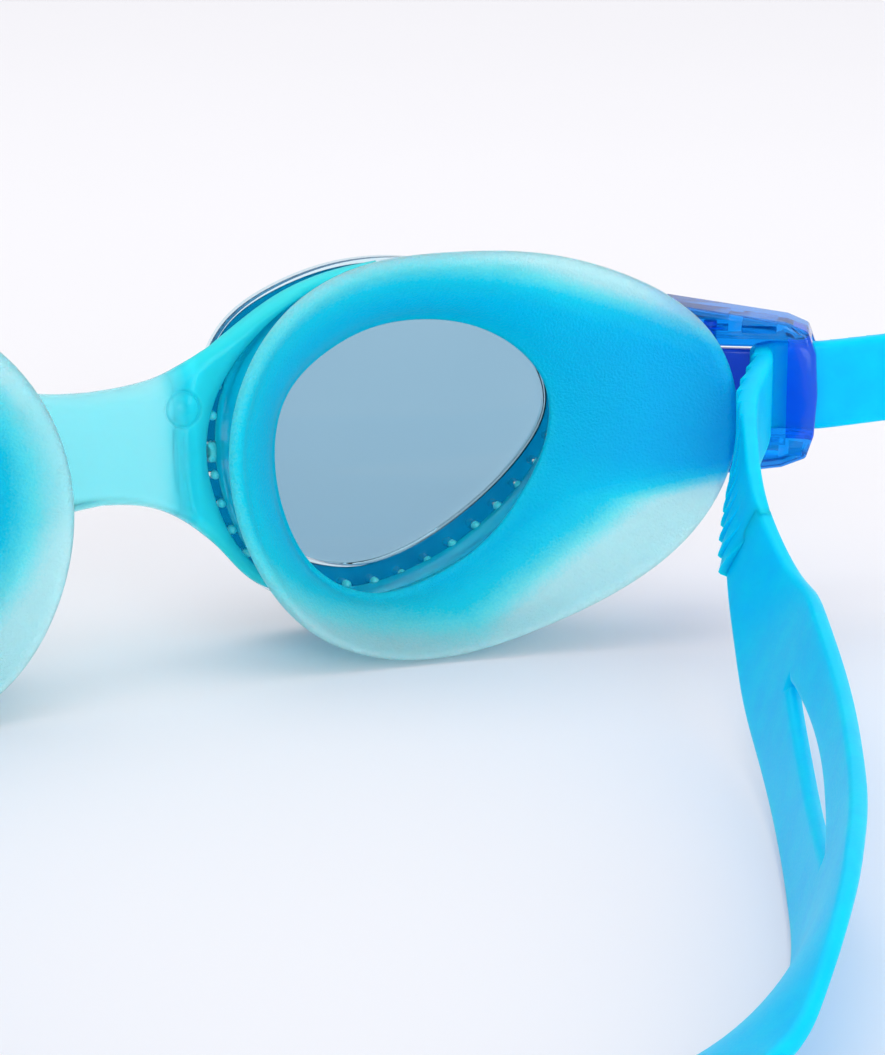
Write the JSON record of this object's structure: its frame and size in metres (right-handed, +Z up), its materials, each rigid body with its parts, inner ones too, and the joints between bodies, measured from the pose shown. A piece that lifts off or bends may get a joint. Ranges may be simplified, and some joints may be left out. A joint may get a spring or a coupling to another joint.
{
  "type": "swim goggles",
  "caption": "Swim goggles with flared soft eye seals, tinted lenses, a soft nose bridge, swivelling quick-release side clips and a split elastic head strap.",
  "frame": {"origin": "middle of the whole box on the table the goggles lie on", "axes": "+X to the wearer's right, +Y the way the wearer looks, +Z up; the strap loop trails towards -Y"},
  "size_m": [0.2094, 0.1671, 0.0477],
  "materials": {
    "clear_gel": "glossy translucent",
    "frosted_gel": "frosted translucent",
    "tinted_lens": "clear, grey tint",
    "flange_plastic": "clear",
    "clip_plastic": "clear cobalt",
    "button_plastic": "clear cobalt",
    "pin_plastic": "satin",
    "strap_silicone": "satin"
  },
  "bodies": {
    "goggles": {"nose_bridge": "clear_gel", "head_strap": "strap_silicone", "face_seal_right": "frosted_gel", "face_seal_left": "frosted_gel", "eye_cup_right": "clear_gel", "eye_cup_left": "clear_gel", "lens_right": "tinted_lens", "lens_left": "tinted_lens", "lens_flange_right": "flange_plastic", "lens_flange_left": "flange_plastic", "frame_bezel_right": "clear_gel", "frame_bezel_left": "clear_gel", "hinge_pin_right": "pin_plastic", "hinge_pin_left": "pin_plastic"},
    "clip_right": {"clip_housing_right": "clip_plastic", "button_pin_right": "pin_plastic", "strap_end_right": "strap_silicone"},
    "button_right": {"release_button_right": "button_plastic"},
    "clip_left": {"clip_housing_left": "clip_plastic", "button_pin_left": "pin_plastic", "strap_end_left": "strap_silicone"},
    "button_left": {"release_button_left": "button_plastic"}
  },
  "joints": [
    {"name": "clip_hinge_right", "type": "hinge", "parent": "goggles", "child": "clip_right", "pos_m": [0.064, 0.06815, 0.028], "axis": [0, 0, 1], "range_deg": [-4, 12]},
    {"name": "release_right", "type": "hinge", "parent": "clip_right", "child": "button_right", "pos_m": [0.07308, 0.06106, 0.0287], "axis": [0, 0, 1], "range_deg": [0, 7], "stiffness_Nm_per_rad": 0.14, "springref_deg": -1.15},
    {"name": "clip_hinge_left", "type": "hinge", "parent": "goggles", "child": "clip_left", "pos_m": [-0.064, 0.06815, 0.028], "axis": [0, 0, -1], "range_deg": [-4, 12]},
    {"name": "release_left", "type": "hinge", "parent": "clip_left", "child": "button_left", "pos_m": [-0.07308, 0.06106, 0.0287], "axis": [0, 0, -1], "range_deg": [0, 7], "stiffness_Nm_per_rad": 0.14, "springref_deg": -1.15}
  ]
}
